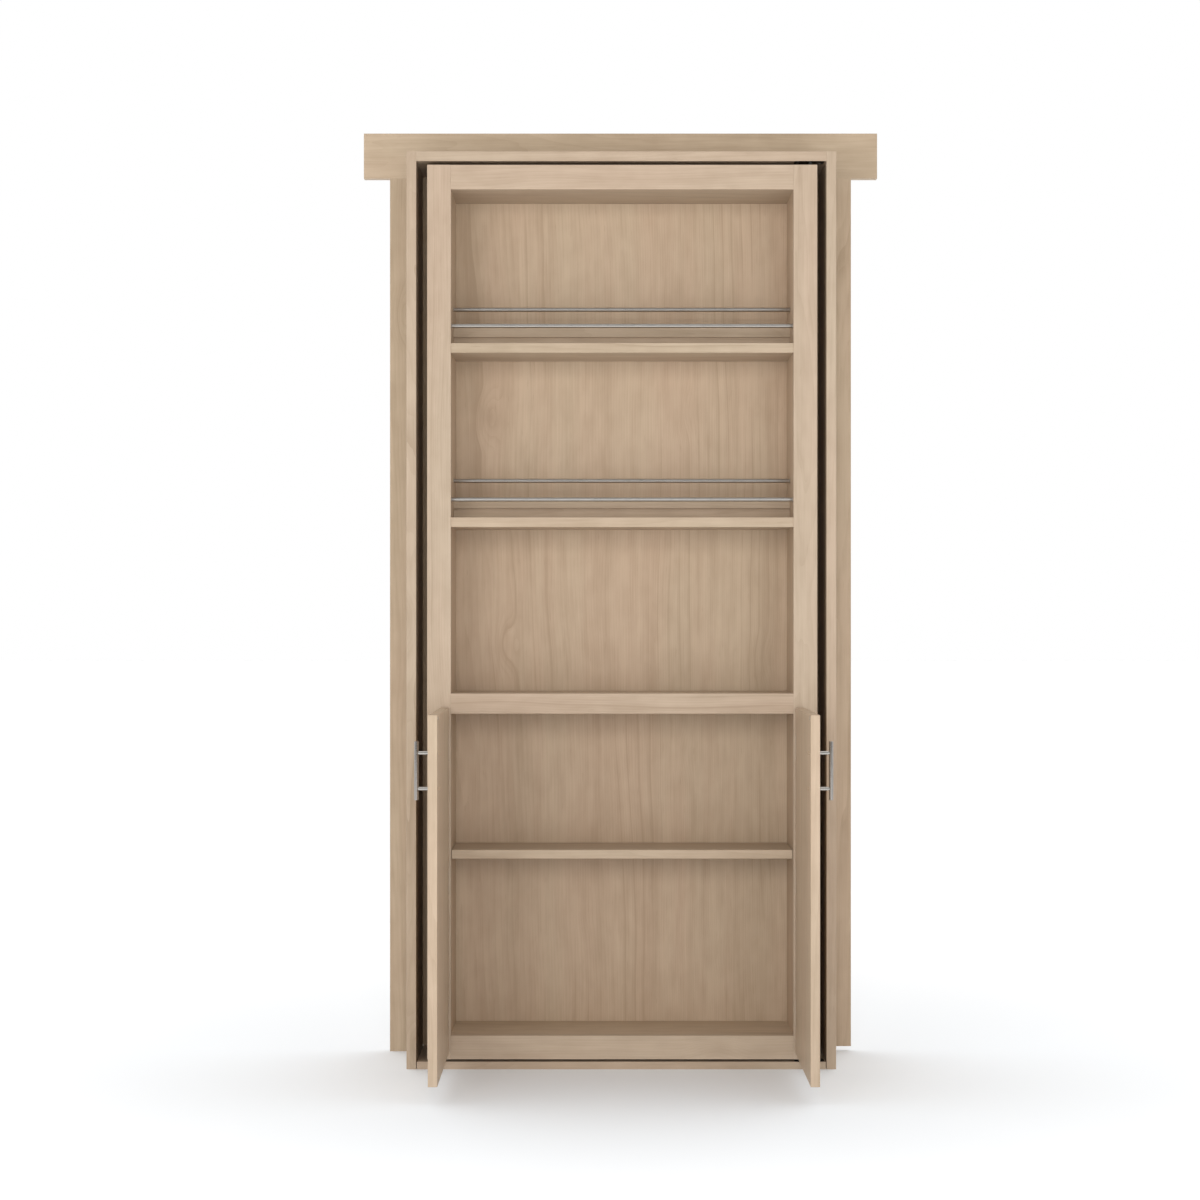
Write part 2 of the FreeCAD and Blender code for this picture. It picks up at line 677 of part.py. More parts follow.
def handle_screw(side, z):
    """A pan-head screw from the door's inner face into a post."""
    x = edge_x(side, HANDLE_U)
    shank = pin(V(x, DOOR_INNER, z), V(0, -1, 0), DOOR_T + HANDLE_SCREW_GRIP, HANDLE_SCREW_R)
    head = pin(V(x, DOOR_INNER, z), Y_AXIS, HANDLE_HEAD_T, HANDLE_HEAD_R)
    rims = [e for e in head.Edges
            if len(e.Vertexes) == 1 and e.CenterOfMass.y > DOOR_INNER + HANDLE_HEAD_T / 2]
    head = head.makeFillet(HANDLE_HEAD_T / 2, rims)
    return shank.fuse(head)


def handle_posts(side):
    x = edge_x(side, HANDLE_U)
    posts = []
    for z in handle_post_levels():
        post = pin(V(x, DOOR_OUTER, z), V(0, -1, 0), DOOR_OUTER - BAR_Y, POST_R)
        posts.append(post.cut([handle_bar(side), handle_screw(side, z)]))
    return Part.makeCompound(posts)


def door_screws(side):
    """The screws of the door's leaves and of its pull."""
    pull = [handle_screw(side, z) for z in handle_post_levels()]
    return Part.makeCompound([screws(door_leaf_places(side))] + pull)


def door_panel(side):
    slab = eased(box(edge_x(side, OVERLAY), edge_x(side, DOOR_FREE), DOOR_OUTER, DOOR_INNER,
                     DOOR_Z0, DOOR_Z1))
    cuts = holes(door_leaf_places(side))
    for z in HINGE_LEVELS:
        half = LEAF_HALF + MORTISE_PLAY
        cuts.append(box(edge_x(side, OVERLAY + CUT_PAST), edge_x(side, MORTISE_U),
                        DOOR_INNER - MORTISE_DEEP, DOOR_INNER + CUT_PAST, z - half, z + half))
    for z in handle_post_levels():
        foot = V(edge_x(side, HANDLE_U), DOOR_INNER, z)
        cuts.append(pin(foot, V(0, -1, 0), DOOR_T, HANDLE_SCREW_R + HANDLE_SCREW_PLAY))
    return slab.cut(cuts)


def door_bumpers(side):
    """Soft discs near the free edge that meet the middle and bottom rails."""
    x = edge_x(side, DOOR_FREE + BUMPER_IN)
    levels = (DOOR_Z0 + BUMPER_IN, DOOR_Z1 - OVERLAY / 2)
    return Part.makeCompound([pin(V(x, DOOR_INNER, z), Y_AXIS, DOOR_GAP - BUMPER_GAP, BUMPER_R)
                              for z in levels])


def door_pieces(name, side):
    """Every piece of one door, at its open stop."""
    closed = {
        "door_panel": door_panel(side),
        "hinge_leaves": door_leaves(side),
        "hinge_pins": hinge_pins(side),
        "handle_bar": handle_bar(side),
        "handle_posts": handle_posts(side),
        "door_screws": door_screws(side),
        "door_bumpers": door_bumpers(side),
    }
    return {name + "_" + key: swung(shape, side) for key, shape in closed.items()}


# ---- Assembly --------------------------------------------------------------------------
def frame_pieces():
    return {
        "jamb_left": jamb_leg(LEFT),
        "jamb_right": jamb_leg(RIGHT),
        "jamb_head": jamb_head(),
        "sill": sill(),
        "stop_left": side_stop(LEFT, GAP_LEFT),
        "stop_right": side_stop(RIGHT, GAP_RIGHT),
        "stop_head": head_stop(),
        "casing_left": casing_leg(LEFT),
        "casing_right": casing_leg(RIGHT),
        "head_casing": head_casing(),
        "pivot_plates": Part.makeCompound([floor_plate(), head_plate()]),
        "floor_pivot_pin": floor_pin(),
        "thrust_washer": thrust_washer(),
        "catch_magnets": catch_magnets(),
        "frame_screws": screws(jamb_screw_places() + floor_plate_places() + head_plate_places()),
    }


def cabinet_pieces():
    pieces = {
        "side_panel_left": side_panel(LEFT),
        "side_panel_right": side_panel(RIGHT),
        "side_liner_left": side_liner(LEFT),
        "side_liner_right": side_liner(RIGHT),
        "side_spacers": side_spacers(),
        "back_panel": back_panel(),
        "cap_panel": end_panel(CAB_Z1 - PANEL_T),
        "base_panel": base_panel(),
        "stile_left": stile(LEFT),
        "stile_right": stile(RIGHT),
        "top_rail": rail(CEILING_Z, CAB_Z1),
        "middle_rail": rail(MIDDLE_RAIL_Z, MIDDLE_Z),
        "bottom_rail": rail(CAB_Z0, DECK_Z),
        "lower_shelf": lower_shelf(),
        "shelf_pins": shelf_pins(),
        "step_boards": step_boards(),
        "step_risers": step_risers(),
        "rod_sockets": rod_sockets(),
        "foot_pivot_plate": foot_plate(),
        "foot_pivot_bush": foot_bush(),
        "head_pivot_pin": head_pin(),
        "catch_plates": catch_plates(),
        "hinge_frame_leaves": frame_leaves(),
        "cabinet_screws": screws(frame_leaf_places() + foot_plate_places()),
    }
    pieces.update(grooved_boards())
    for name, places in rod_places().items():
        pieces[name] = Part.makeCompound([guard_rod(y, z) for y, z in places])
    return pieces


def main():
    os.makedirs("parts", exist_ok=True)
    nodes = frame_pieces()
    nodes.update(cabinet_pieces())
    nodes.update(door_pieces("left", LEFT))
    nodes.update(door_pieces("right", RIGHT))
    for name, shape in nodes.items():
        shape.exportStep(os.path.join("parts", name + ".step"))
    print(len(nodes), "pieces")


main()
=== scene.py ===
"""Looks of a pale maple pantry cabinet that swings in its own door frame.

The timber boards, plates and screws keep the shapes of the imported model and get
their finishes here. The guard rods, their sockets, the door pulls and the door
bumpers are turned again as smooth surfaces. Lengths are in metres, x runs to the
right, y to the back and z up.
"""
import math

import bpy
import numpy as np
from bpy.props import FloatProperty, FloatVectorProperty, IntProperty, PointerProperty
from bpy.types import Operator, Panel, PropertyGroup
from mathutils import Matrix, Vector


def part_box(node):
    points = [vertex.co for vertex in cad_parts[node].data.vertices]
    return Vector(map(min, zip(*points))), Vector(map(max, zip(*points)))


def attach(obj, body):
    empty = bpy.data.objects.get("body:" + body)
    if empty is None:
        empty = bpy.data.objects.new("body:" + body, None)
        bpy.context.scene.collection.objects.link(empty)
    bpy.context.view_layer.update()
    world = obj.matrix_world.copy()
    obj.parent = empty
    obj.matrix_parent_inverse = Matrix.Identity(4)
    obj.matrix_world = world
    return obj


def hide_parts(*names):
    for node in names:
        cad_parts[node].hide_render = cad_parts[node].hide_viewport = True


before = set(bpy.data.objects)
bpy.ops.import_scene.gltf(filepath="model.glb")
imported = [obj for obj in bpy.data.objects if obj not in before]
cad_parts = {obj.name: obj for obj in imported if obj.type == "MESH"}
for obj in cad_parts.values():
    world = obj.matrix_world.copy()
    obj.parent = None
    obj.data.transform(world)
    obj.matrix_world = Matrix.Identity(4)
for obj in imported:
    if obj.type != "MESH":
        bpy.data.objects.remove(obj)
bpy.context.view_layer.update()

bl_info = {
    "name": "Swinging pantry cabinet",
    "version": (1, 0, 0),
    "blender": (4, 5, 0),
    "location": "View3D > Sidebar > Pantry",
    "description": "Maple, steel and studio for a pantry cabinet in a door frame",
    "category": "Object",
}

GOLDEN = (math.sqrt(5) - 1) / 2
FLOOR_LINES = 13
WHITE = (1, 1, 1, 1)


# ---- Sizes and colours that a user may change ---------------------------------------
def colour(name, description, rgb):
    return FloatVectorProperty(name=name, description=description, default=rgb,
                               subtype="COLOR", size=3, min=0, max=1)


def length(name, description, metres):
    return FloatProperty(name=name, description=description, default=metres,
                         unit="LENGTH", precision=4, min=0)


def share(name, description, value):
    return FloatProperty(name=name, description=description, default=value,
                         subtype="FACTOR", min=0, max=1)


def size_of(node, axis):
    low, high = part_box(node)
    return high[axis] - low[axis]


class PANTRY_PG_timber(PropertyGroup):
    frame_tone: colour("Face frame", "Mean colour of the stiles and rails", (0.444, 0.345, 0.256))
    jamb_tone: colour("Jamb", "Mean colour of the door frame and its stops", (0.430, 0.336, 0.248))
    # Partly painted light: the stops are browner than the jamb, standing in for warm bounce light
    # in the gaps beside the cabinet; the rest is their own maple tone
    stop_tone_with_painted_gap_light: colour("Stops", "Mean colour of the two upright stops", (0.430, 0.318, 0.212))
    casing_tone: colour("Casing", "Mean colour of the casings", (0.456, 0.354, 0.252))
    # Partly painted light: the outer sides are browner than the other boards, standing in for warm
    # bounce light in the gaps beside the cabinet; the rest is their own maple tone
    side_tone_with_painted_gap_light: colour("Sides", "Mean colour of the outer sides", (0.474, 0.347, 0.232))
    liner_tone: colour("Liners", "Mean colour of the inner side walls", (0.474, 0.360, 0.256))
    back_tone: colour("Back", "Mean colour of the back panel", (0.457, 0.348, 0.247))
    shelf_tone: colour("Shelves", "Mean colour of the shelves and panels", (0.439, 0.343, 0.249))
    # Painted light: the deck is the shelves' maple made lighter, standing in for more light
    # falling on its up-facing top
    deck_tone_painted_light: colour("Deck", "Mean colour of the bottom deck", (0.470, 0.365, 0.260))
    door_tone: colour("Doors", "Mean colour of the lower doors", (0.490, 0.382, 0.278))
    ring_width: length("Ring width", "Mean width of one growth ring", 0.0042)
    grain: share("Grain", "Strength of the growth rings and streaks", 0.85)
    gloss_roughness: share("Roughness", "Roughness of the satin lacquer", 0.46)


class PANTRY_PG_metal(PropertyGroup):
    steel_tone: colour("Steel", "Colour of rods, posts and plates", (0.50, 0.48, 0.45))
    # Painted reflection: the bars are the posts' steel made darker, standing in for the dark
    # reflection that the upright bars show
    bar_tone: colour("Pull bars", "Colour of the bars of the door pulls", (0.34, 0.32, 0.30))
    black_tone: colour("Blackened steel", "Colour of the hidden pivots", (0.075, 0.072, 0.070))
    screw_tone: colour("Screws", "Colour of the screws", (0.56, 0.56, 0.56))
    bronze_tone: colour("Door screws", "Colour of the bronzed door screws", (0.66, 0.52, 0.38))
    brass_tone: colour("Brass", "Colour of the pivot bush", (0.72, 0.55, 0.27))
    nickel_tone: colour("Nickel", "Colour of the magnets", (0.66, 0.64, 0.61))
    bumper_tone: colour("Bumpers", "Colour of the clear soft door bumpers", (0.36, 0.30, 0.235))
    rod_roughness: share("Rod roughness", "Roughness of the guard rods", 0.30)
    bar_roughness: share("Bar roughness", "Roughness of the bars of the pulls", 0.28)
    post_roughness: share("Post roughness", "Roughness of the posts of the pulls", 0.14)
    plate_roughness: share("Plate roughness", "Roughness of the hinges and plates", 0.38)


class PANTRY_PG_hardware(PropertyGroup):
    rod_radius: length("Rod radius", "Radius of a guard rod", size_of("front_rods", 1) / 2)
    flange_thickness: length("Flange", "Thickness of a rod socket's flange", 0.001)
    socket_radius: length("Socket radius", "Radius of a socket's barrel in the side wall", 0.00575)
    socket_depth: length("Socket depth", "Depth of a socket's barrel in the side wall", 0.0105)
    socket_floor: length("Socket floor", "Thickness of a socket's floor", 0.0015)
    socket_play: length("Socket play", "Between a rod and its socket", 0.0001)
    bar_radius: length("Bar radius", "Radius of a pull's bar", size_of("left_handle_bar", 1) / 2)
    post_radius: length("Post radius", "Radius of a pull's post",
                        size_of("left_handle_posts", 1) / 2)
    edge_radius: length("Edge radius", "Rounding on turned metal edges", 0.0005)
    bumper_radius: length("Bumper radius", "Radius of a door bumper",
                          size_of("left_door_bumpers", 1) / 2)
    bumper_rim: share("Bumper rim", "Share of a bumper's thickness below its dome", 0.45)
    sides: IntProperty(name="Sides", description="Facets round a turned piece", default=64, min=12)


class PANTRY_PG_stage(PropertyGroup):
    camera_place: FloatVectorProperty(name="Camera", description="Place of the camera", size=3,
                                      subtype="TRANSLATION", default=(-0.0485, -5.682, 1.0447))
    camera_lens: FloatProperty(name="Lens", description="Focal length", default=73.4,
                               unit="CAMERA", min=1)
    camera_shift: FloatProperty(name="Shift", description="Vertical lens shift", default=0.0085)
    floor_tone: colour("Floor", "Colour of the floor away from the cabinet", (0.975, 0.975, 0.975))
    # Painted shade: the floor's colour is darker and cooler near the cabinet, in place of the
    # cabinet's soft shadow on it
    floor_painted_shade: colour("Floor near", "Colour of the floor near the cabinet",
                       (0.884, 0.905, 0.925))
    floor_size: length("Floor size", "Width of the floor", 90.0)
    # Painted shade: where the floor's darker colour round the cabinet starts and stops fading out
    painted_shade_fade_start: length("Near reach", "Where the floor's near colour starts to fade", 0.7)
    painted_shade_fade_end: length("Far reach", "Where the floor's near colour has gone", 2.2)
    sky: FloatProperty(name="Sky", description="Brightness of the soft light all round",
                       default=1.24, min=0)
    front_shade: share("Front shade", "How much darker the soft light is from the front", 0.77)
    lamp_size: length("Light size", "Height of each soft light", 2.6)
    lamp_aside: length("Light aside", "How far aside the left and right lights stand", 2.6)
    lamp_front: length("Light in front", "How far in front the lights stand", 6.1)
    lamp_height: length("Light height", "Height of the lights' middles", 1.7)
    lamp_aim: length("Light aim", "Height that the lights point at", 0.95)
    key_left: FloatProperty(name="Left light", description="Power of the soft light at the left",
                            default=84.0, unit="POWER", min=0)
    key_right: FloatProperty(name="Right light",
                             description="Power of the soft light at the right",
                             default=32.0, unit="POWER", min=0)
    key_front: FloatProperty(name="Front light", description="Power of the soft light in front",
                             default=97.0, unit="POWER", min=0)


# ---- Materials ----------------------------------------------------------------------
class Signal:
    """A socket of a material. Its sums and products are Math nodes."""

    def __init__(self, finish, socket):
        self.finish, self.socket = finish, socket

    def _math(self, operation, *values):
        return self.finish.add("ShaderNodeMath", {"operation": operation}, dict(enumerate(values)))

    def __add__(self, other):
        return self._math("ADD", self, other)

    def __sub__(self, other):
        return self._math("SUBTRACT", self, other)

    def __rsub__(self, other):
        return self._math("SUBTRACT", other, self)

    def __mul__(self, other):
        return self._math("MULTIPLY", self, other)

    def __truediv__(self, other):
        return self._math("DIVIDE", self, other)

    def __pow__(self, other):
        return self._math("POWER", self, other)

    def __abs__(self):
        return self._math("ABSOLUTE", self)

    __radd__ = __add__
    __rmul__ = __mul__

    def part(self):
        """What is left over a whole number."""
        return self._math("FRACT", self)

    def between(self, low, high):
        """0 at low, 1 at high, smooth between them."""
        return self.finish.add("ShaderNodeMapRange", {"interpolation_type": "SMOOTHSTEP"},
                               {"Value": self, "From Min": low, "From Max": high})


class Nodes:
    """The nodes of a material or of the world."""

    def __init__(self, owner):
        owner.use_nodes = True
        self.tree = owner.node_tree
        self.tree.nodes.clear()

    def add(self, kind, settings=None, inputs=None, output=0):
        """A node: its type, its settings, then the values or links of its sockets."""
        node = self.tree.nodes.new(kind)
        for key, value in (settings or {}).items():
            setattr(node, key, value)
        for key, value in (inputs or {}).items():
            if isinstance(value, Signal):
                self.tree.links.new(value.socket, node.inputs[key])
            else:
                node.inputs[key].default_value = value
        return Signal(self, node.outputs[output] if node.outputs else None)


class Finish(Nodes):
    """A material and its nodes."""

    def __init__(self, name):
        self.material = bpy.data.materials.new(name)
        super().__init__(self.material)

    def here(self):
        return self.add("ShaderNodeTexCoord", output="Object")

    def vector(self, operation, a, b, output=0):
        return self.add("ShaderNodeVectorMath", {"operation": operation}, {0: a, 1: b}, output)

    def noise(self, place, scale, detail=2.0, rough=0.5):
        """Soft noise whose scale differs along the three axes."""
        return self.add("ShaderNodeTexNoise", {"noise_dimensions": "3D"},
                        {"Vector": self.vector("MULTIPLY", place, scale), "Scale": 1.0,
                         "Detail": detail, "Roughness": rough})

    def mix(self, amount, a, b, blend="MIX"):
        return self.add("ShaderNodeMix", {"data_type": "RGBA", "blend_type": blend,
                                          "clamp_factor": True}, {0: amount, 6: a, 7: b}, 2)

    def bump(self, height, strength, distance):
        return self.add("ShaderNodeBump", None,
                        {"Height": height, "Strength": strength, "Distance": distance})

    def surface(self, inputs):
        shader = self.add("ShaderNodeBsdfPrincipled", None, inputs)
        self.add("ShaderNodeOutputMaterial", None, {"Surface": shader})
        return self.material


def rgba(tone, times=(1, 1, 1)):
    return tuple(c * t for c, t in zip(tone, times)) + (1.0,)


UPRIGHT, CROSS = 2, 0     # the grain's axis

# Noises of the timber: per metre across the grain, twice, and along it, then the detail
# and the roughness of the noise
FIBRES = ((520, 520, 9), 3.0, 0.6)
FLECKS = ((300, 300, 26), 1.0)
STREAKS = ((62, 62, 1.1), 3.0, 0.55)
FIGURE = ((34, 34, 15), 2.0, 0.45)
BANDS = ((15, 15, 0.7), 2.0)
RIPPLE = ((40, 40, 2.5), 1.0)
PATCHES = ((9, 9, 1.6), 1.0)
WIDE_BLUSH = ((5.5, 5.5, 0.7), 1.0)
FINE_BLUSH = ((24, 24, 2.2), 1.0)
WANDER = (3.2, 3.2, 1.1)
WANDER_BY = (0.075, 0.075, 0.0)
BUDS = (5.5, 5.5, 2.6)
BUD_SIZE, BUD_BEND = 0.24, 0.013
LOG_STEP = 1.7            # metres along the log from one board to the next
TAPER = 0.012
LATE_SHARP, LATE_MEAN = 2.6, 0.28
LINE_YEARS, LINE_SHARP = 4.3, 7
PALE, DEEP = (1.10, 1.105, 1.115), (0.86, 0.835, 0.805)
YELLOWER, PINKER = (0.994, 1.004, 0.993, 1), (1.012, 0.988, 0.981, 1)
END_GRAIN = (0.86, 0.83, 0.79, 1)


def timber(name, tone, along, number, centre, seen):
    """Maple as it grows: the shade depends on the distance from the tree's heart, counted
    in rings, where the heart leans and wanders and the rings swell round sparse buds, with
    fine fibres, wide streaks and soft figure drawn out along the grain. along is the
    grain's axis, 0 or 2. number shifts and turns the log, so that each board is cut from
    another place in it. seen is how far the heart lies from the board."""
    look = bpy.context.scene.pantry_timber
    f = Finish(name)
    turn = (0, -math.pi / 2, 0) if along == CROSS else (0, 0, 0)
    mid = Vector((-centre[2], centre[1], centre[0])) if along == CROSS else Vector(centre)
    angle = 2 * math.pi * (number * GOLDEN % 1)
    heart = Vector((seen * math.cos(angle), seen * math.sin(angle), LOG_STEP * number)) - mid
    log = f.add("ShaderNodeMapping", None,
                {"Vector": f.here(), "Rotation": turn, "Location": heart})
    wander = f.add("ShaderNodeTexNoise", {"noise_dimensions": "3D"},
                   {"Vector": f.vector("MULTIPLY", log, WANDER), "Scale": 1.0,
                    "Detail": 2.0}, "Color")
    wood = f.vector("ADD", log, f.vector("MULTIPLY", f.vector("SUBTRACT", wander, (0.5,) * 3),
                                         WANDER_BY))
    bud = 1 - f.add("ShaderNodeTexVoronoi", {"voronoi_dimensions": "3D"},
                    {"Vector": f.vector("MULTIPLY", wood, BUDS), "Scale": 1.0},
                    "Distance").between(0.0, BUD_SIZE)
    radius = f.vector("LENGTH", f.vector("MULTIPLY", wood, (1, 1, TAPER)), (0, 0, 0), "Value")
    years = (radius + BUD_BEND * bud) / look.ring_width + 1.6 * f.noise(wood, *RIPPLE)
    late = years.part() ** LATE_SHARP
    lines = (years / LINE_YEARS).part() ** LINE_SHARP * f.noise(wood, *PATCHES).between(0.46, 0.66)
    fibres, flecks = f.noise(log, *FIBRES), f.noise(log, *FLECKS).between(0.70, 0.80)
    streaks, bands, figure = (f.noise(wood, *kind) for kind in (STREAKS, BANDS, FIGURE))
    normal = f.add("ShaderNodeTexCoord", output="Normal")
    axis = (1, 0, 0) if along == CROSS else (0, 0, 1)
    sawn = abs(f.vector("DOT_PRODUCT", normal, axis, "Value")).between(0.72, 0.86)
    g = look.grain
    shade = (0.38 + g * (0.30 * (late - LATE_MEAN) + 1.10 * (fibres - 0.5)
                         + 1.15 * (streaks - 0.5) + 1.25 * (bands - 0.5)
                         + 1.05 * (figure - 0.5))
             + 0.32 * flecks + 0.85 * lines + 0.25 * bud * bud)
    body = f.mix(shade, rgba(tone, PALE), rgba(tone, DEEP))
    blush = (0.7 * f.noise(wood, *WIDE_BLUSH)
             + 0.3 * f.noise(wood, *FINE_BLUSH)).between(0.36, 0.64)
    tinted = f.mix(blush, f.mix(1.0, body, YELLOWER, "MULTIPLY"),
                   f.mix(1.0, body, PINKER, "MULTIPLY"))
    ended = f.mix(sawn, tinted, f.mix(1.0, tinted, END_GRAIN, "MULTIPLY"))
    rough = look.gloss_roughness + 0.10 * (fibres - 0.5) + 0.08 * sawn
    height = 0.5 * fibres + 0.35 * late + 0.15 * streaks
    return f.surface({"Base Color": ended, "Roughness": rough,
                      "Normal": f.bump(height, 0.16, 0.0004),
                      "Specular IOR Level": 0.38})


def metal(name, tone, roughness, brush, strength=0.05):
    """Brushed metal: fine scratches drawn out along one axis change the shine, and softer
    patches change the tone. brush is the scale along the three axes."""
    f = Finish(name)
    here = f.here()
    scratches = f.noise(here, brush, 2.0, 0.6)
    handled = f.noise(here, (45, 45, 45), 2.0)
    tint = f.mix(0.55 * handled + 0.45 * scratches, rgba(tone, (0.86,) * 3),
                 rgba(tone, (1.12,) * 3))
    return f.surface({"Base Color": tint, "Metallic": 1.0,
                      "Roughness": roughness + 0.16 * (scratches - 0.5) + 0.08 * (handled - 0.5),
                      "Normal": f.bump(scratches, strength, 0.0002)})


def rubber(name, tone):
    """Soft rubber with a fine moulded skin."""
    f = Finish(name)
    skin = f.noise(f.here(), (1800,) * 3, 2.0)
    tint = f.mix(skin, rgba(tone, (0.8,) * 3), rgba(tone, (1.35,) * 3))
    return f.surface({"Base Color": tint, "Roughness": 0.62 + 0.2 * (skin - 0.5),
                      "Normal": f.bump(skin, 0.2, 0.0002)})


def wear(material, *names):
    """The material in every slot of these pieces."""
    for name in names:
        piece = bpy.data.objects[name]
        if not piece.material_slots:
            piece.data.materials.append(material)
        for place in piece.material_slots:
            place.material = material


# ---- Surfaces -----------------------------------------------------------------------
AXES = {"x": (0, 1, 2), "y": (1, 2, 0), "z": (2, 0, 1)}


def softened(points, radius, steps=5):
    """A profile whose inner corners are rounded: each corner is a quadratic curve from a
    point one radius before it to a point one radius after it."""
    p = np.asarray(points, float)
    before, at, after = p[:-2], p[1:-1], p[2:]
    to_a, to_b = before - at, after - at
    len_a = np.linalg.norm(to_a, axis=1, keepdims=True)
    len_b = np.linalg.norm(to_b, axis=1, keepdims=True)
    cut = np.minimum(radius, 0.45 * np.minimum(len_a, len_b))
    a, b = at + to_a / len_a * cut, at + to_b / len_b * cut
    t = np.linspace(0, 1, steps)[None, :, None]
    curve = (1 - t) ** 2 * a[:, None] + 2 * t * (1 - t) * at[:, None] + t ** 2 * b[:, None]
    return np.vstack([p[:1], curve.reshape(-1, 2), p[-1:]])


def turned(profile, centre, axis, sides, way=1, reach=None):
    """A surface turned about an axis. The profile's rows are (place along the axis,
    radius) and its two ends lie on the axis. A point at row i and angle a is the centre,
    plus the row's place along the axis, plus the radius times (cos a, sin a) across it.
    way -1 turns the profile end for end. reach gives a row's place along the axis as a
    function of the angle for the rows past the middle, which shapes that end.
    Returns points, quads and triangles."""
    rows = np.asarray(profile, float)
    angle = np.arange(sides) / sides * 2 * np.pi * way
    place = np.repeat(rows[1:-1, :1], sides, axis=1)
    if reach is not None:
        past = rows[1:-1, :1] > rows[:, 0].mean()
        place = place + np.where(past, reach(rows[1:-1, 1:], angle), 0)
    along, first, second = AXES[axis]
    ring = np.zeros((len(rows) - 2, sides, 3))
    ring[..., along] = place * way
    ring[..., first] = rows[1:-1, 1:] * np.cos(angle)
    ring[..., second] = rows[1:-1, 1:] * np.sin(angle)
    poles = np.zeros((2, 3))
    poles[:, along] = rows[[0, -1], 0] * way
    points = np.vstack([ring.reshape(-1, 3), poles]) + np.asarray(centre, float)
    grid = np.arange((len(rows) - 2) * sides).reshape(-1, sides)
    near = np.roll(grid, -1, axis=1)
    quads = np.stack([grid[:-1], near[:-1], near[1:], grid[1:]], -1).reshape(-1, 4)
    start = np.stack([np.full(sides, grid.size), near[0], grid[0]], -1)
    end = np.stack([np.full(sides, grid.size + 1), grid[-1], near[-1]], -1)
    return points, quads, np.vstack([start, end])


def piece(name, body, slot, nodes, parts, material):
    """One mesh from several closed surfaces. It rides on a body and stands for nodes."""
    points, faces, count = [], [], 0
    for xyz, quads, triangles in parts:
        points.append(xyz)
        faces += (quads + count).tolist() + (triangles + count).tolist()
        count += len(xyz)
    mesh = bpy.data.meshes.new(name)
    mesh.from_pydata(np.vstack(points).tolist(), [], faces)
    mesh.polygons.foreach_set("use_smooth", np.ones(len(mesh.polygons), bool))
    mesh.materials.append(material)
    mesh.validate()
    made = bpy.data.objects.new(name, mesh)
    bpy.context.scene.collection.objects.link(made)
    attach(made, body)
    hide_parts(*nodes)
    return made


def rod_lines(node, radius):
    """Depth and the two heights of the rods in a node."""
    low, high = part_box(node)
    return [((low.y + high.y) / 2, z) for z in (low.z + radius, high.z - radius)]


# ---- Operators ----------------------------------------------------------------------
POST_END = 0.03           # share of a post that the rows beside each end take
DOME_ROWS = 12
DOME_FULLNESS = 0.7       # below 1 the dome keeps its width further up
# Colour, the grain's axis, how far the tree's heart lies from the board, and the boards
BOARDS = (
    ("frame_tone", UPRIGHT, 0.11, "stile_left stile_right"),
    ("frame_tone", CROSS, 0.10, "top_rail middle_rail bottom_rail"),
    ("jamb_tone", UPRIGHT, 0.14, "jamb_left jamb_right"),
    # Stops and outer sides: own tone plus painted warm bounce light in the gaps
    ("stop_tone_with_painted_gap_light", UPRIGHT, 0.14, "stop_left stop_right"),
    ("jamb_tone", CROSS, 0.12, "jamb_head sill stop_head"),
    ("casing_tone", UPRIGHT, 0.12, "casing_left casing_right"),
    ("casing_tone", CROSS, 0.13, "head_casing"),
    ("side_tone_with_painted_gap_light", UPRIGHT, 0.20, "side_panel_left side_panel_right side_spacers"),
    ("liner_tone", UPRIGHT, 0.22, "side_liner_left side_liner_right"),
    ("back_tone", UPRIGHT, 0.42, "back_panel"),
    ("shelf_tone", CROSS, 0.16, "cap_panel base_panel top_panel spice_shelf bottle_shelf "
                                "middle_shelf lower_shelf step_boards step_risers"),
    # Painted light: lighter maple on the up-facing deck
    ("deck_tone_painted_light", CROSS, 0.18, "bottom_deck"),
    ("door_tone", UPRIGHT, 0.26, "left_door_panel right_door_panel"),
)


class PANTRY_OT_timber(Operator):
    """Give every board its maple, each cut from another place in the log"""
    bl_idname = "pantry.timber"
    bl_label = "Finish the timber"

    def execute(self, context):
        look = context.scene.pantry_timber
        number = 0
        for tone, along, seen, names in BOARDS:
            for name in names.split():
                number += 1
                low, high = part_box(name)
                wear(timber(name + "_maple", getattr(look, tone), along, number,
                            (low + high) / 2, seen), name)
        return {"FINISHED"}


class PANTRY_OT_fittings(Operator):
    """Finish the screws, hinges, pivots, pins and magnets"""
    bl_idname = "pantry.fittings"
    bl_label = "Finish the fittings"

    def execute(self, context):
        look = context.scene.pantry_metal
        plate = look.plate_roughness
        wear(metal("screw_steel", look.screw_tone, plate, (600, 600, 600)),
             "frame_screws", "cabinet_screws")
        wear(metal("door_screw_bronze", look.bronze_tone, plate, (600, 600, 600)),
             "left_door_screws", "right_door_screws")
        wear(metal("hinge_steel", look.steel_tone, plate, (900, 900, 30)),
             "hinge_frame_leaves", "left_hinge_leaves", "right_hinge_leaves",
             "left_hinge_pins", "right_hinge_pins")
        wear(metal("pivot_steel", look.black_tone, plate, (30, 900, 900)),
             "pivot_plates", "floor_pivot_pin", "foot_pivot_plate",
             "head_pivot_pin", "catch_plates")
        wear(metal("pin_steel", look.steel_tone, plate, (30, 900, 900)), "shelf_pins")
        wear(metal("bush_brass", look.brass_tone, plate, (700, 700, 60)),
             "foot_pivot_bush", "thrust_washer")
        wear(metal("magnet_nickel", look.nickel_tone, 0.3, (300, 300, 300), 0.02), "catch_magnets")
        return {"FINISHED"}


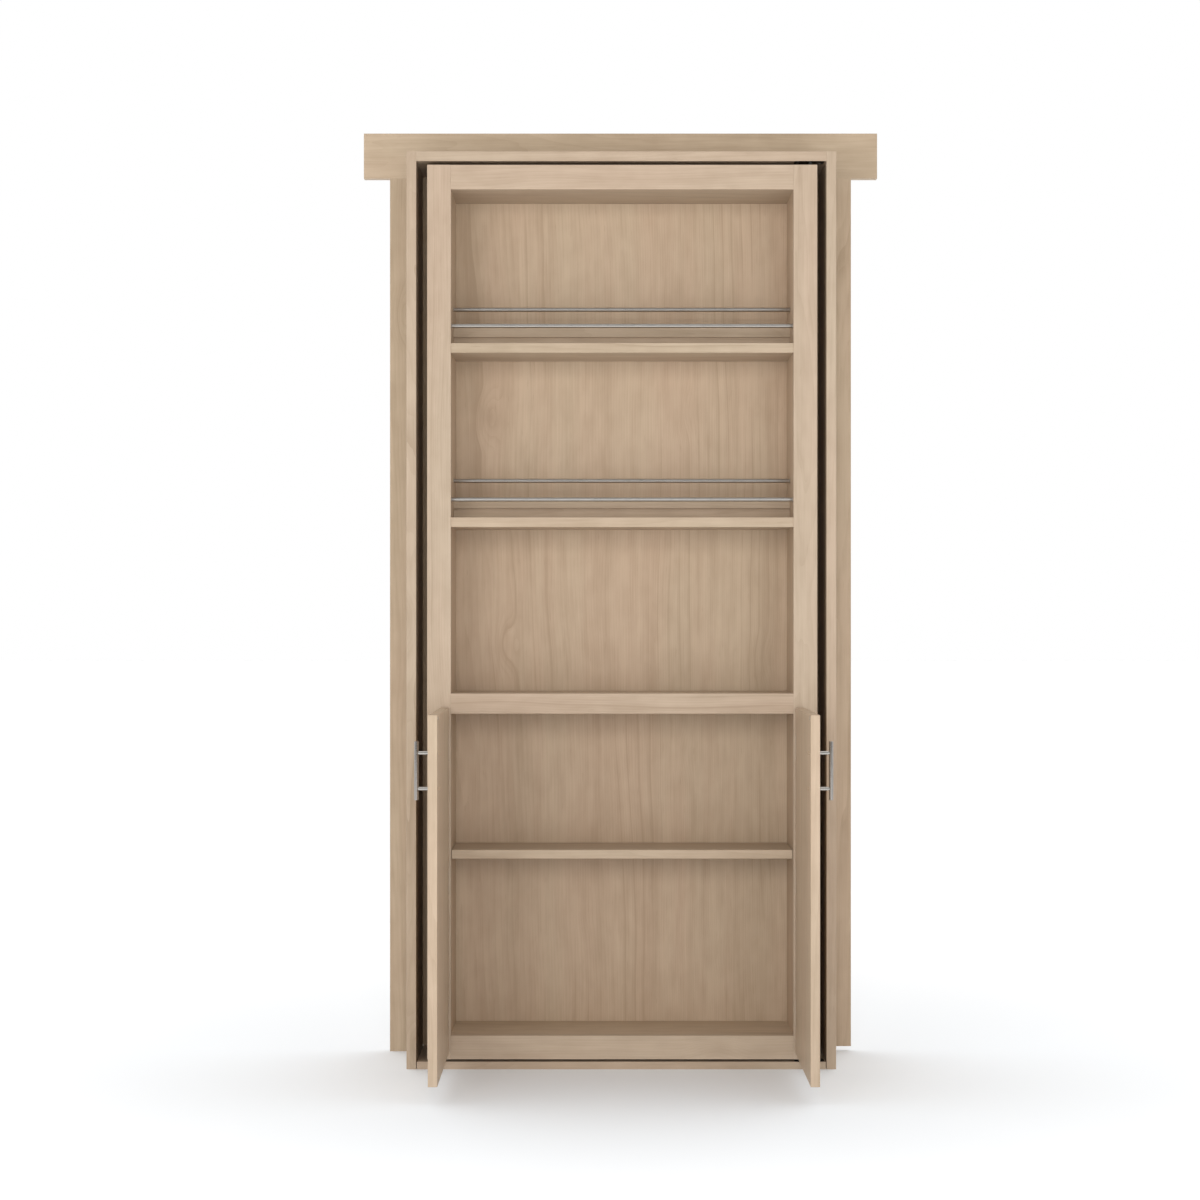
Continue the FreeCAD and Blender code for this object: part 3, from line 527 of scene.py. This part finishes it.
class PANTRY_OT_rods(Operator):
    """Turn the guard rods in front of the jars and of the raised steps"""
    bl_idname = "pantry.rods"
    bl_label = "Turn the guard rods"

    def execute(self, context):
        size, look = context.scene.pantry_hardware, context.scene.pantry_metal
        steel = metal("rod_steel", look.steel_tone, look.rod_roughness, (14, 1500, 1500))
        r = size.rod_radius
        for node in ("front_rods", "back_rods"):
            low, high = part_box(node)
            span = high.x - low.x
            profile = softened([(0, 0), (0, r), (span, r), (span, 0)], size.edge_radius)
            parts = [turned(profile, (low.x, y, z), "x", size.sides)
                     for y, z in rod_lines(node, r)]
            piece("turned_" + node, "cabinet", "rod_steel", [node], parts, steel)
        return {"FINISHED"}


class PANTRY_OT_sockets(Operator):
    """Turn the flanged sockets that hold the ends of the guard rods"""
    bl_idname = "pantry.sockets"
    bl_label = "Turn the rod sockets"

    def execute(self, context):
        size, look = context.scene.pantry_hardware, context.scene.pantry_metal
        steel = metal("socket_steel", look.steel_tone, look.rod_roughness, (400, 400, 400), 0.02)
        low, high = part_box("rod_sockets")
        lines = rod_lines("front_rods", size.rod_radius) + rod_lines("back_rods", size.rod_radius)
        flange = min(z for _, z in lines) - low.z
        bore = size.rod_radius + size.socket_play
        deep, lip = -size.socket_depth, size.flange_thickness
        profile = softened([(deep, 0), (deep, size.socket_radius), (0, size.socket_radius),
                            (0, flange), (lip, flange), (lip, bore),
                            (deep + size.socket_floor, bore), (deep + size.socket_floor, 0)],
                           size.edge_radius)
        walls = ((low.x + size.socket_depth, 1), (high.x - size.socket_depth, -1))
        parts = [turned(profile, (x, y, z), "x", size.sides, way)
                 for y, z in lines for x, way in walls]
        piece("turned_sockets", "cabinet", "rod_steel", ["rod_sockets"], parts, steel)
        return {"FINISHED"}


class PANTRY_OT_pulls(Operator):
    """Turn the bar and the two posts of each door's pull"""
    bl_idname = "pantry.pulls"
    bl_label = "Turn the door pulls"

    def execute(self, context):
        size, look = context.scene.pantry_hardware, context.scene.pantry_metal
        # Painted reflection: darker steel on the upright bars in place of their dark reflection
        upright = metal("pull_steel_upright", look.bar_tone, look.bar_roughness, (1500, 1500, 14))
        across = metal("pull_steel_across", look.steel_tone, look.post_roughness, (14, 1500, 1500))
        bar, post = size.bar_radius, size.post_radius
        for side, way in (("left", -1), ("right", 1)):
            low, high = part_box(side + "_handle_bar")
            centre = ((low.x + high.x) / 2, (low.y + high.y) / 2, low.z)
            span = high.z - low.z
            profile = softened([(0, 0), (0, bar), (span, bar), (span, 0)], size.edge_radius)
            piece(side + "_turned_bar", side + "_door", "pull_steel", [side + "_handle_bar"],
                  [turned(profile, centre, "z", size.sides)], upright)
            low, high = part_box(side + "_handle_posts")
            face = high.x if way < 0 else low.x
            out = abs(centre[0] - face) - bar
            near, far = out * POST_END, out * (1 - POST_END)
            profile = [(0, 0), (0, post), (near, post), (far, post), (out, post), (out, 0)]

            def coped(radius, angle):
                """How much further a post reaches beside the bar's middle line."""
                return bar - np.sqrt(bar ** 2 - (radius * np.cos(angle)) ** 2)

            parts = [turned(profile, (face, centre[1], z), "x", size.sides, way, coped)
                     for z in (low.z + post, high.z - post)]
            piece(side + "_turned_posts", side + "_door", "pull_steel", [side + "_handle_posts"],
                  parts, across)
        return {"FINISHED"}


class PANTRY_OT_bumpers(Operator):
    """Mould the domed rubber bumpers on the doors' inner faces"""
    bl_idname = "pantry.bumpers"
    bl_label = "Mould the bumpers"

    def execute(self, context):
        size, look = context.scene.pantry_hardware, context.scene.pantry_metal
        soft = rubber("bumper_rubber", look.bumper_tone)
        r = size.bumper_radius
        for side, way in (("left", 1), ("right", -1)):
            low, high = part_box(side + "_door_bumpers")
            thick = high.x - low.x
            face = low.x if way > 0 else high.x
            rise = np.linspace(0, math.pi / 2, DOME_ROWS)[:-1]
            up = size.bumper_rim + (1 - size.bumper_rim) * np.sin(rise)
            dome = np.stack([thick * up, r * np.cos(rise) ** DOME_FULLNESS], -1)
            profile = np.vstack([[(0, 0), (0, r)], dome, [(thick, 0)]])
            parts = [turned(profile, (face, (low.y + high.y) / 2, z), "x", size.sides, way)
                     for z in (low.z + r, high.z - r)]
            piece(side + "_domed_bumpers", side + "_door", "bumper_rubber",
                  [side + "_door_bumpers"], parts, soft)
        return {"FINISHED"}


class PANTRY_OT_stage(Operator):
    """Set the pale floor with painted shade round the cabinet, the soft light all round, three
    soft lights in front and the camera
    """
    bl_idname = "pantry.stage"
    bl_label = "Set the stage"

    def execute(self, context):
        scene, look = context.scene, context.scene.pantry_stage
        f = Finish("studio_floor")
        # Painted shade: the floor's colour darkens and cools towards the cabinet, in place of its
        # soft shadow
        away = f.vector("LENGTH", f.here(), (0, 0, 0), "Value")
        away = away.between(look.painted_shade_fade_start, look.painted_shade_fade_end)
        tint = f.mix(away, rgba(look.floor_painted_shade), rgba(look.floor_tone))
        cover = f.surface({"Base Color": tint, "Roughness": 0.9, "Specular IOR Level": 0.0})
        half = look.floor_size / 2
        line = np.linspace(-half, half, FLOOR_LINES)
        x, y = np.meshgrid(line, line)
        points = np.stack([x, y, np.zeros_like(x)], -1).reshape(-1, 3)
        grid = np.arange(len(points)).reshape(x.shape)
        quads = np.stack([grid[:-1, :-1], grid[:-1, 1:], grid[1:, 1:], grid[1:, :-1]], -1)
        mesh = bpy.data.meshes.new("floor")
        mesh.from_pydata(points.tolist(), [], quads.reshape(-1, 4).tolist())
        mesh.materials.append(cover)
        floor = bpy.data.objects.new("floor", mesh)
        scene.collection.objects.link(floor)

        scene.world = bpy.data.worlds.new("soft_studio")
        sky = Nodes(scene.world)
        way = sky.add("ShaderNodeSeparateXYZ", None, {0: sky.add("ShaderNodeTexCoord")}, "Y")
        front = sky.add("ShaderNodeMath", {"operation": "MAXIMUM"}, {0: 0.0 - way, 1: 0.0})
        seen = sky.add("ShaderNodeLightPath", output="Is Camera Ray")
        light = look.sky * (1 - look.front_shade * front)
        bright = light + seen * (1 - light)
        pale = sky.add("ShaderNodeBackground", None, {"Color": WHITE, "Strength": bright})
        sky.add("ShaderNodeOutputWorld", None, {"Surface": pale})

        tall = look.lamp_size
        for name, x, wide, power in (("left", -look.lamp_aside, tall, look.key_left),
                                     ("right", look.lamp_aside, tall, look.key_right),
                                     ("front", 0, tall / 2, look.key_front)):
            lamp = bpy.data.lights.new("soft_light_" + name, "AREA")
            lamp.shape, lamp.size, lamp.size_y, lamp.energy = "RECTANGLE", wide, tall, power
            light = bpy.data.objects.new(lamp.name, lamp)
            light.location = (x, -look.lamp_front, look.lamp_height)
            light.rotation_mode = "QUATERNION"
            aim = Vector((0, 0, look.lamp_aim)) - light.location
            light.rotation_quaternion = aim.to_track_quat("-Z", "Y")
            light.visible_camera = light.visible_glossy = False
            scene.collection.objects.link(light)

        camera = bpy.data.objects.new("camera", bpy.data.cameras.new("camera"))
        camera.data.sensor_width = 36
        camera.data.lens, camera.data.shift_y = look.camera_lens, look.camera_shift
        camera.location = look.camera_place
        camera.rotation_euler = (math.pi / 2, 0, 0)
        scene.collection.objects.link(camera)
        scene.camera = camera
        scene.view_settings.view_transform = "Standard"
        return {"FINISHED"}


class PANTRY_PT_sidebar(Panel):
    """The pantry cabinet's settings and steps"""
    bl_idname = "PANTRY_PT_sidebar"
    bl_label = "Pantry cabinet"
    bl_space_type = "VIEW_3D"
    bl_region_type = "UI"
    bl_category = "Pantry"

    def draw(self, context):
        for group in GROUPS:
            box = self.layout.box()
            settings = getattr(context.scene, group)
            for key in settings.__annotations__:
                box.prop(settings, key)
        for step in STEPS:
            self.layout.operator(step.bl_idname)


GROUPS = {"pantry_timber": PANTRY_PG_timber, "pantry_metal": PANTRY_PG_metal,
          "pantry_hardware": PANTRY_PG_hardware, "pantry_stage": PANTRY_PG_stage}
STEPS = (PANTRY_OT_timber, PANTRY_OT_fittings, PANTRY_OT_rods, PANTRY_OT_sockets,
         PANTRY_OT_pulls, PANTRY_OT_bumpers, PANTRY_OT_stage)
CLASSES = (*GROUPS.values(), *STEPS, PANTRY_PT_sidebar)


def register():
    for kind in CLASSES:
        bpy.utils.register_class(kind)
    for group, kind in GROUPS.items():
        setattr(bpy.types.Scene, group, PointerProperty(type=kind))


def unregister():
    for group in GROUPS:
        delattr(bpy.types.Scene, group)
    for kind in reversed(CLASSES):
        bpy.utils.unregister_class(kind)


def main():
    register()
    bpy.ops.pantry.timber()
    bpy.ops.pantry.fittings()
    bpy.ops.pantry.rods()
    bpy.ops.pantry.sockets()
    bpy.ops.pantry.pulls()
    bpy.ops.pantry.bumpers()
    bpy.ops.pantry.stage()


if __name__ == "__main__":
    main()
